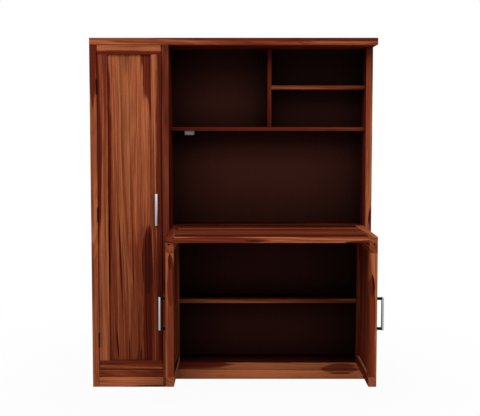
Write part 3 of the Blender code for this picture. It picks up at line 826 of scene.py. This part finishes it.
def add_piece(name, mesh, material, body, replaced=()):
    """A piece of the desk that moves with a body, and may stand for nodes of the frame."""
    piece = bpy.data.objects.new(name, mesh)
    bpy.context.scene.collection.objects.link(piece)
    mesh.materials.clear()
    mesh.materials.append(material)
    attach(piece, body)
    if replaced:
        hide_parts(*replaced)
    return piece


def filled_mesh(name, bm):
    """A mesh from a bmesh, with its faces pointing out."""
    bmesh.ops.recalc_face_normals(bm, faces=bm.faces[:])
    mesh = bpy.data.meshes.new(name)
    bm.to_mesh(mesh)
    bm.free()
    return mesh


def joined_box(nodes):
    """The box round several nodes of the frame."""
    corners = [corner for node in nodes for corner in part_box(node)]
    low = Vector(min(corner[i] for corner in corners) for i in range(3))
    high = Vector(max(corner[i] for corner in corners) for i in range(3))
    return low, high


def on_open_arris(edge, box, open_sides):
    """True if an edge lies where two open sides of a box meet."""
    ends = [vertex.co for vertex in edge.verts]
    met = 0
    for side in open_sides:
        axis, corner = SIDES[side]
        if all(abs(end[axis] - box[corner][axis]) < ON_FACE for end in ends):
            met += 1
    return met == 2


def board_mesh(node, box, open_sides, inner_share):
    """A copy of a board's solid with flat faces joined up and its arrises marked for rounding."""
    bm = bmesh.new()
    bm.from_mesh(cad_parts[node].data)
    bmesh.ops.remove_doubles(bm, verts=bm.verts[:], dist=MERGE)
    bmesh.ops.dissolve_limit(bm, angle_limit=FLAT_ANGLE, verts=bm.verts[:], edges=bm.edges[:])
    weight = bm.edges.layers.float.new("bevel_weight_edge")
    for edge in bm.edges:
        convex = edge.calc_face_angle_signed(0.0) > SHARP_ANGLE
        if convex and edge.calc_length() > SHORTEST_ARRIS:
            edge[weight] = 1.0 if on_open_arris(edge, box, open_sides) else inner_share
    return filled_mesh(f"{node}_board", bm)


def add_board(node, cut, body, wood, arris, box, open_sides=tuple(SIDES), inner_arris=0.0):
    """A wooden piece with rounded arrises, which stands for a board of the frame."""
    mesh = board_mesh(node, box, open_sides, inner_arris / arris)
    mesh.shade_smooth()
    piece = add_piece(f"{node}_board", mesh, wood_material(node, cut, wood), body, [node])
    rounding = piece.modifiers.new("rounded arrises", "BEVEL")
    rounding.width = arris
    rounding.segments = ARRIS_SEGMENTS
    rounding.limit_method = "WEIGHT"
    rounding.use_clamp_overlap = False
    rounding.harden_normals = True


class STUDYDESK_OT_carcass(Operator):
    """Dress the side panels, the top board, the floors, plinths and shelves in figured wood"""

    bl_idname = "study_desk.carcass"
    bl_label = "Carcass boards"

    def execute(self, context):
        wood = context.scene.study_desk_wood
        for cuts, open_sides in ((PANEL_CUTS, PANEL_SIDES), (TOP_CUTS, SIDES), (SHELF_CUTS, SHELF_SIDES)):
            for node, cut in cuts.items():
                add_board(node, cut, CARCASS, wood, wood.board_arris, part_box(node), open_sides)
        return {"FINISHED"}


class STUDYDESK_OT_doors(Operator):
    """Dress the rails, stiles and panels of the three framed doors in figured wood"""

    bl_idname = "study_desk.doors"
    bl_label = "Framed doors"

    def execute(self, context):
        wood = context.scene.study_desk_wood
        for door in DOORS:
            cuts = {node: cut for node, cut in DOOR_CUTS.items() if node.startswith(door)}
            box = joined_box(cuts)
            for node, cut in cuts.items():
                add_board(node, cut, door, wood, wood.outer_arris, box, inner_arris=wood.inner_arris)
        return {"FINISHED"}


class STUDYDESK_OT_flap(Operator):
    """Dress the cleats, rails and panel of the desk flap in figured wood"""

    bl_idname = "study_desk.flap"
    bl_label = "Desk flap"

    def execute(self, context):
        wood = context.scene.study_desk_wood
        box = joined_box(FLAP_CUTS)
        for node, cut in FLAP_CUTS.items():
            add_board(node, cut, DESK_FLAP, wood, wood.outer_arris, box, inner_arris=wood.inner_arris)
        return {"FINISHED"}


class STUDYDESK_OT_backs(Operator):
    """Finish the two back sheets in a dark stain, with painted shade that darkens them near the boards"""

    bl_idname = "study_desk.backs"
    bl_label = "Back sheets"

    def execute(self, context):
        wood = context.scene.study_desk_wood
        for node in ("cupboard_back", "hutch_back"):
            material, wires, shader = new_material(f"stained_{node}")
            place = wires.add("ShaderNodeTexCoord").outputs["Object"]
            streak = wires.noise(place, SHEET_STREAKS, detail=3.0)[0]
            cloud = wires.noise(place, SHEET_CLOUDS, detail=2.0)[0]
            reach = {"Distance": wood.stain_reach}
            # Painted shade: the sheet's colour darkens where the ambient occlusion node finds boards near,
            # and is lighter in the open
            clear = wires.add("ShaderNodeAmbientOcclusion", reach, samples=8).outputs["AO"]
            pale = wires.total(
                wires.math("POWER", clear, PAINTED_SHADE_FALL),
                wires.centred(streak, STREAK_SHARE),
                wires.centred(cloud, CLOUD_SHARE),
            )
            shade = wires.mix(pale, opaque(wood.sheet, PAINTED_SHADE_DARKEST), opaque(wood.sheet, PAINTED_SHADE_LIGHTEST))
            wires.feed(shader.inputs["Base Color"], shade)
            spread = wires.centred(streak, SHEET_ROUGHNESS_SPREAD)
            wires.feed(shader.inputs["Roughness"], wires.math("ADD", SHEET_ROUGHNESS, spread))
            shader.inputs["Specular IOR Level"].default_value = SHEET_SPECULAR
            finish_node(node, material)
        return {"FINISHED"}


def rounded_outline(width, depth, front_radius, back_radius, steps):
    """Points round a section centred across, from its back at 0 to its front at the depth."""
    corners = (
        (width / 2 - back_radius, back_radius, back_radius, -pi / 2),
        (width / 2 - front_radius, depth - front_radius, front_radius, 0.0),
        (-width / 2 + front_radius, depth - front_radius, front_radius, pi / 2),
        (-width / 2 + back_radius, back_radius, back_radius, pi),
    )
    points = []
    for x, y, radius, start in corners:
        for step in range(steps + 1):
            angle = start + step / steps * pi / 2
            points.append((x + radius * cos(angle), y + radius * sin(angle)))
    return points


def prism(outline, low, high, end_radius):
    """A bmesh of a closed prism on an outline, between two heights, with rounded ends."""
    bm = bmesh.new()
    base = bm.faces.new([bm.verts.new((x, y, low)) for x, y in outline])
    raised = bmesh.ops.extrude_face_region(bm, geom=[base])
    top = [item for item in raised["geom"] if isinstance(item, bmesh.types.BMVert)]
    bmesh.ops.translate(bm, verts=top, vec=(0.0, 0.0, high - low))
    rims = [edge for edge in bm.edges if abs(edge.verts[0].co.z - edge.verts[1].co.z) < MERGE]
    bmesh.ops.bevel(
        bm, geom=rims, offset=end_radius, segments=2, profile=0.5, affect="EDGES", clamp_overlap=True
    )
    return bm


def join(bm, piece, matrix):
    """Move a piece by a matrix and make it part of another bmesh."""
    bmesh.ops.transform(piece, matrix=matrix, verts=piece.verts[:])
    part = bpy.data.meshes.new("part")
    piece.to_mesh(part)
    piece.free()
    bm.from_mesh(part)
    bpy.data.meshes.remove(part)


def placed_mesh(name, bm, matrix):
    """A mesh from a bmesh moved to its place, shaded smooth but for its sharp edges."""
    bmesh.ops.transform(bm, matrix=matrix, verts=bm.verts[:])
    mesh = filled_mesh(name, bm)
    mesh.shade_smooth()
    mesh.set_sharp_from_angle(angle=PIECE_SHARP_ANGLE)
    return mesh


def basis(across, out, along, origin):
    """A matrix from a piece's own axes to the frame's."""
    return Matrix.Translation(origin) @ Matrix((across, out, along)).transposed().to_4x4()


# The way that each handle stands out from its door at rest
HANDLE_OUT = {CUPBOARD_DOOR: FORWARD, LEFT_DOOR: LEFTWARD, RIGHT_DOOR: RIGHTWARD}


class STUDYDESK_OT_handles(Operator):
    """Make the three handles, each a rounded silver face on a black bar with two feet"""

    bl_idname = "study_desk.handles"
    bl_label = "Handles"

    def execute(self, context):
        hardware = context.scene.study_desk_hardware
        silver = self.bar_material(hardware)
        for door, out in HANDLE_OUT.items():
            node = f"{door}_handle"
            low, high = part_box(node)
            size = high - low
            length = size.z
            reach = abs(size.dot(out))
            foot_end = middle_of(node) - out * reach / 2
            place = basis(out.cross(UPWARD), out, UPWARD, foot_end)
            bar_back = reach - hardware.bar_thickness
            self.add_face(node, hardware, silver, place, bar_back, length, door)
            self.add_back(node, hardware, place, bar_back, length, door)
        return {"FINISHED"}

    def bar_material(self, hardware):
        """Satin silver with fine lines along the bar."""
        material, wires, shader = new_material("satin_silver")
        place = wires.add("ShaderNodeTexCoord").outputs["Object"]
        brushed = wires.noise(place, BRUSH_STRETCH, detail=2.0)[0]
        shade = wires.mix(brushed, opaque(hardware.bar, BRUSH_DARK), opaque(hardware.bar, BRUSH_LIGHT))
        wires.feed(shader.inputs["Base Color"], shade)
        spread = wires.centred(brushed, BAR_ROUGHNESS_SPREAD)
        wires.feed(shader.inputs["Roughness"], wires.math("ADD", BAR_ROUGHNESS, spread))
        shader.inputs["Metallic"].default_value = 1.0
        return material

    def add_face(self, node, hardware, material, place, bar_back, length, door):
        # Painted shadow: the silver face is narrower than its black back by this rim on each side
        rim = hardware.bar_rim
        thickness = hardware.bar_thickness - hardware.bar_backing
        width = hardware.bar_width - 2 * rim
        outline = rounded_outline(width, thickness, hardware.bar_front_radius, rim, steps=6)
        bm = prism(outline, rim - length / 2, length / 2 - rim, hardware.bar_end_radius)
        front = place @ Matrix.Translation((0.0, bar_back + hardware.bar_backing, 0.0))
        mesh = placed_mesh(f"{node}_face", bm, front)
        add_piece(f"{node}_face", mesh, material, door)

    def add_back(self, node, hardware, place, bar_back, length, door):
        rim = hardware.bar_rim
        outline = rounded_outline(
            hardware.bar_width, hardware.bar_backing, rim, hardware.bar_back_radius, steps=3
        )
        bm = prism(outline, -length / 2, length / 2, rim)
        bmesh.ops.translate(bm, verts=bm.verts[:], vec=(0.0, bar_back, 0.0))
        radius = hardware.foot_radius
        outline = rounded_outline(hardware.foot_width, hardware.foot_length, radius, radius, steps=3)
        foot_start = length / 2 - hardware.foot_inset
        for start in (-foot_start, foot_start - hardware.foot_length):
            foot = prism(outline, 0.0, bar_back + radius, radius / 3)
            join(bm, foot, Matrix(((1, 0, 0, 0), (0, 0, 1, 0), (0, 1, 0, start), (0, 0, 0, 1))))
        mesh = placed_mesh(f"{node}_back", bm, place)
        add_piece(f"{node}_back", mesh, plain_material(hardware, "black"), door, [node])


def screw_head(bm, place, radius):
    """A countersunk screw head with a cross recess, its face on the plane of the place's X and Y."""
    rim_count = 20
    arm = radius * 0.16
    reach = radius * 0.62
    depth = radius * 0.35
    cross = [
        (arm, arm), (arm, reach), (-arm, reach), (-arm, arm), (-reach, arm), (-reach, -arm),
        (-arm, -arm), (-arm, -reach), (arm, -reach), (arm, -arm), (reach, -arm), (reach, arm),
    ]
    rim = []
    for step in range(rim_count):
        angle = 2 * pi * step / rim_count
        rim.append(bm.verts.new(place @ Vector((radius * cos(angle), radius * sin(angle), 0.0))))
    lips = [bm.verts.new(place @ Vector((x, y, 0.0))) for x, y in cross]
    floor = [bm.verts.new(place @ Vector((x, y, -depth))) for x, y in cross]
    tip = bm.verts.new(place @ Vector((0.0, 0.0, -radius)))
    edges = []
    for loop in (rim, lips):
        for first, second in zip(loop, loop[1:] + loop[:1]):
            edges.append(bm.edges.new((first, second)))
    bmesh.ops.triangle_fill(bm, use_beauty=True, edges=edges)
    for index in range(len(cross)):
        after = (index + 1) % len(cross)
        bm.faces.new((lips[index], floor[index], floor[after], lips[after]))
    bm.faces.new(floor)
    for index in range(rim_count):
        bm.faces.new((rim[index], rim[(index + 1) % rim_count], tip))


def looking(direction, origin):
    """A matrix whose Z looks along a direction from an origin."""
    return Matrix.Translation(origin) @ direction.to_track_quat("Z", "Y").to_matrix().to_4x4()


# Butt hinges: door, levels, and the ways at rest that both kinds of leaves face and lie from the barrel
CUPBOARD_LEVELS = ("lower", "middle", "upper")
CABINET_LEVELS = ("lower", "upper")
BUTT_HINGES = {
    "cupboard_hinge": (CUPBOARD_DOOR, CUPBOARD_LEVELS, (RIGHTWARD, BACKWARD), (LEFTWARD, BACKWARD)),
    "left_door_hinge": (LEFT_DOOR, CABINET_LEVELS, (RIGHTWARD, BACKWARD), (BACKWARD, RIGHTWARD)),
    "right_door_hinge": (RIGHT_DOOR, CABINET_LEVELS, (LEFTWARD, BACKWARD), (BACKWARD, LEFTWARD)),
}
LEAF_SETBACK = 0.0002
LONG_LEAVES = ("flap_hinge_frame_leaf", "flap_hinge_leaf")


class STUDYDESK_OT_hinges(Operator):
    """Finish the butt hinges in black and the flap's long hinge in bronze, and put in the hinges' screws"""

    bl_idname = "study_desk.hinges"
    bl_label = "Hinges"

    def execute(self, context):
        hardware = context.scene.study_desk_hardware
        for node in LONG_LEAVES:
            finish_node(node, plain_material(hardware, "bronze"))
        for hinge, (door, levels, frame_ways, door_ways) in BUTT_HINGES.items():
            for leaf, body, ways in (("frame_leaf", CARCASS, frame_ways), ("door_leaf", door, door_ways)):
                for level in levels:
                    node = f"{hinge}_{level}_{leaf}"
                    finish_node(node, plain_material(hardware, "black"))
                    self.add_screws(node, body, *ways, hardware)
        return {"FINISHED"}

    def add_screws(self, node, body, facing, outward, hardware):
        """Three screws in the plate of a butt hinge's leaf, flush with its free face."""
        low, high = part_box(node)
        size = high - low
        centre = (low + high) / 2
        barrel = abs(size.dot(facing))
        plate_middle = centre.dot(outward) + barrel / 2
        face = centre.dot(facing) - LEAF_SETBACK + MERGE
        bm = bmesh.new()
        for level in (-1, 0, 1):
            height = centre.z + level * size.z / 3
            origin = facing * face + outward * plate_middle + UPWARD * height
            screw_head(bm, looking(facing, origin), hardware.screw_radius)
        mesh = filled_mesh(f"{node}_screws", bm)
        add_piece(f"{node}_screws", mesh, plain_material(hardware, "steel"), body)


class STUDYDESK_OT_catches(Operator):
    """Make the flap's grey catch with its pole plates, its strike plate, and the doors' edge catches"""

    bl_idname = "study_desk.catches"
    bl_label = "Catches"

    def execute(self, context):
        hardware = context.scene.study_desk_hardware
        self.add_housing(hardware)
        self.add_poles(hardware)
        self.add_strike(hardware)
        for door in (LEFT_DOOR, RIGHT_DOOR):
            self.add_edge_catch(door, hardware)
        return {"FINISHED"}

    def add_housing(self, hardware):
        """A rounded housing with a recess in its front."""
        name = "flap_catch_housing"
        low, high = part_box("flap_catch")
        bm = bmesh.new()
        bmesh.ops.create_cube(bm, size=1.0, matrix=Matrix.Diagonal((*(high - low), 1.0)))
        rounding = {"offset": HOUSING_ROUNDING, "segments": 3, "profile": 0.5, "clamp_overlap": True}
        bmesh.ops.bevel(bm, geom=bm.edges[:], affect="EDGES", **rounding)
        front = min(bm.faces, key=lambda face: face.calc_center_median().y)
        bmesh.ops.inset_region(bm, faces=[front], thickness=RECESS_WALL)
        bmesh.ops.translate(bm, verts=front.verts[:], vec=BACKWARD * RECESS_DEPTH)
        mesh = placed_mesh(name, bm, Matrix.Translation((low + high) / 2))
        add_piece(name, mesh, plain_material(hardware, "catch"), CARCASS, ["flap_catch"])

    def add_poles(self, hardware):
        """Two steel plates that stand in the housing's recess."""
        name = "flap_catch_poles"
        low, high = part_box("flap_catch")
        length = (high - low).x * PLATE_LENGTH_SHARE
        outline = rounded_outline(length, PLATE_THICKNESS, PLATE_ROUNDING, PLATE_ROUNDING, steps=2)
        bm = bmesh.new()
        for side in (-1, 1):
            plate = prism(outline, 0.0, PLATE_REACH, RIM_ROUNDING)
            start = side * PLATE_FROM_MIDDLE - PLATE_THICKNESS / 2
            join(bm, plate, Matrix(((1, 0, 0, 0), (0, 0, -1, 0), (0, 1, 0, start), (0, 0, 0, 1))))
        centre = (low + high) / 2
        mesh = placed_mesh(name, bm, Matrix.Translation((centre.x, low.y + RECESS_DEPTH, centre.z)))
        add_piece(name, mesh, plain_material(hardware, "steel"), CARCASS)

    def add_strike(self, hardware):
        """A thin plate with round corners, held by two screws."""
        node = "flap_strike_plate"
        black = plain_material(hardware, "black")
        low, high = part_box(node)
        size = high - low
        centre = (low + high) / 2
        outline = rounded_outline(size.x, size.y, STRIKE_CORNER, STRIKE_CORNER, steps=4)
        bm = prism(outline, 0.0, size.z, RIM_ROUNDING)
        mesh = placed_mesh(f"{node}_cover", bm, Matrix.Translation((centre.x, low.y, low.z)))
        add_piece(f"{node}_cover", mesh, black, DESK_FLAP, [node])
        screws = bmesh.new()
        for side in (-1, 1):
            origin = (centre.x + side * size.x * STRIKE_SCREW_SHARE, centre.y, high.z + MERGE)
            screw_head(screws, Matrix.Translation(origin), hardware.screw_radius)
        mesh = filled_mesh(f"{node}_screws", screws)
        add_piece(f"{node}_screws", mesh, black, DESK_FLAP)

    def add_edge_catch(self, door, hardware):
        """A round black button with a rounded rim and a dimple, let into the door's free edge."""
        node = f"{door}_edge_catch"
        low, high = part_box(node)
        radius = (high.z - low.z) / 2
        length = high.y - low.y
        profile = (
            (0.0, length),
            (radius, length),
            (radius, radius * 0.12),
            (radius * 0.88, 0.0),
            (radius * 0.5, 0.0),
            (radius * 0.36, radius * 0.3),
            (0.0, radius * 0.36),
        )
        bm = bmesh.new()
        verts = [bm.verts.new((x, y, 0.0)) for x, y in profile]
        edges = [bm.edges.new(pair) for pair in zip(verts, verts[1:])]
        turn = {"axis": BACKWARD, "cent": (0.0, 0.0, 0.0), "angle": 2 * pi, "steps": BUTTON_STEPS}
        bmesh.ops.spin(bm, geom=verts + edges, **turn)
        bmesh.ops.remove_doubles(bm, verts=bm.verts[:], dist=MERGE)
        centre = middle_of(node)
        mesh = placed_mesh(f"{node}_button", bm, Matrix.Translation((centre.x, low.y, centre.z)))
        add_piece(f"{node}_button", mesh, plain_material(hardware, "black"), door, [node])


class STUDYDESK_OT_stage(Operator):
    """Set up the pale floor, the white surround, the lamps and the camera"""

    bl_idname = "study_desk.stage"
    bl_label = "Studio"

    def execute(self, context):
        stage = context.scene.study_desk_stage
        self.add_floor(stage)
        self.add_surround(context.scene, stage)
        for name, (size, place) in LAMPS.items():
            self.add_lamp(f"{name} lamp", getattr(stage, name), size, place)
        self.add_camera(context.scene, stage)
        context.scene.view_settings.view_transform = "Standard"
        return {"FINISHED"}

    def seen_rays(self, wires):
        """1 for a ray from the camera, or one that metal or glass sends on."""
        path = wires.add("ShaderNodeLightPath").outputs
        sent_on = wires.math("MAXIMUM", path["Is Glossy Ray"], path["Is Transmission Ray"])
        return wires.math("MAXIMUM", path["Is Camera Ray"], sent_on)

    def add_floor(self, stage):
        """A pale floor that looks white, with a little of its own shade near the desk."""
        material, wires, shader = new_material("pale_floor")
        shader.inputs["Base Color"].default_value = opaque(stage.floor)
        shader.inputs["Roughness"].default_value = FLOOR_ROUGHNESS
        shader.inputs["Specular IOR Level"].default_value = 0.0
        white = wires.add("ShaderNodeEmission").outputs[0]
        place = wires.add("ShaderNodeTexCoord").outputs["Object"]
        distance = wires.add("ShaderNodeVectorMath", {0: place}, operation="LENGTH").outputs["Value"]
        near = wires.step(distance, *FLOOR_SHADE_EDGE)
        own = wires.math("MULTIPLY", near, stage.floor_shade)
        share = wires.math("MULTIPLY", self.seen_rays(wires), wires.math("SUBTRACT", 1.0, own))
        mixed = wires.add("ShaderNodeMixShader", {0: share, 1: shader.outputs[0], 2: white}).outputs[0]
        output = material.node_tree.nodes["Material Output"]
        wires.feed(output.inputs["Surface"], mixed)
        bm = bmesh.new()
        bmesh.ops.create_grid(bm, x_segments=1, y_segments=1, size=FLOOR_REACH)
        mesh = filled_mesh("floor", bm)
        mesh.materials.append(material)
        floor = bpy.data.objects.new("floor", mesh)
        bpy.context.scene.collection.objects.link(floor)

    def add_surround(self, scene, stage):
        """White for the camera and for what metal and glass show, and dimmer as light."""
        world = bpy.data.worlds.new("white_surround")
        world.use_nodes = True
        wires = Wiring(world.node_tree)
        seen = self.seen_rays(wires)
        strength = wires.math("MULTIPLY_ADD", seen, 1.0 - stage.ambient, stage.ambient)
        background = world.node_tree.nodes["Background"]
        background.inputs["Color"].default_value = (1.0, 1.0, 1.0, 1.0)
        wires.feed(background.inputs["Strength"], strength)
        scene.world = world

    def add_lamp(self, name, power, size, place):
        data = bpy.data.lights.new(name, "AREA")
        data.energy = power
        data.shape = "RECTANGLE"
        data.size, data.size_y = size
        lamp = bpy.data.objects.new(name, data)
        bpy.context.scene.collection.objects.link(lamp)
        lamp.location = place
        lamp.rotation_euler = (LAMP_AIM - place).to_track_quat("-Z", "Y").to_euler()
        lamp.visible_camera = False

    def add_camera(self, scene, stage):
        data = bpy.data.cameras.new("camera")
        data.lens = stage.lens
        data.shift_x = stage.shift
        camera = bpy.data.objects.new("camera", data)
        scene.collection.objects.link(camera)
        camera.location = stage.eye
        camera.rotation_euler = (pi / 2 - stage.tilt, 0.0, 0.0)
        scene.camera = camera


class STUDYDESK_PT_looks(Panel):
    """Sizes and colours of the desk's looks, and the steps that make them"""

    bl_idname = "STUDYDESK_PT_looks"
    bl_label = "Study Desk"
    bl_space_type = "VIEW_3D"
    bl_region_type = "UI"
    bl_category = "Study Desk"

    def draw(self, context):
        for settings in PROPERTY_GROUPS:
            box = self.layout.box()
            group = getattr(context.scene, settings)
            for name in group.__annotations__:
                box.prop(group, name)
        for operator in OPERATORS:
            self.layout.operator(operator.bl_idname)


PROPERTY_GROUPS = {
    "study_desk_wood": STUDYDESK_PG_wood,
    "study_desk_hardware": STUDYDESK_PG_hardware,
    "study_desk_stage": STUDYDESK_PG_stage,
}
OPERATORS = (
    STUDYDESK_OT_carcass,
    STUDYDESK_OT_doors,
    STUDYDESK_OT_flap,
    STUDYDESK_OT_backs,
    STUDYDESK_OT_handles,
    STUDYDESK_OT_hinges,
    STUDYDESK_OT_catches,
    STUDYDESK_OT_stage,
)
CLASSES = (*PROPERTY_GROUPS.values(), *OPERATORS, STUDYDESK_PT_looks)


def register():
    for made in CLASSES:
        bpy.utils.register_class(made)
    for name, group in PROPERTY_GROUPS.items():
        setattr(bpy.types.Scene, name, PointerProperty(type=group))


def unregister():
    for name in PROPERTY_GROUPS:
        delattr(bpy.types.Scene, name)
    for made in reversed(CLASSES):
        bpy.utils.unregister_class(made)


def main():
    register()
    bpy.ops.study_desk.carcass()
    bpy.ops.study_desk.doors()
    bpy.ops.study_desk.flap()
    bpy.ops.study_desk.backs()
    bpy.ops.study_desk.handles()
    bpy.ops.study_desk.hinges()
    bpy.ops.study_desk.catches()
    bpy.ops.study_desk.stage()


if __name__ == "__main__":
    main()
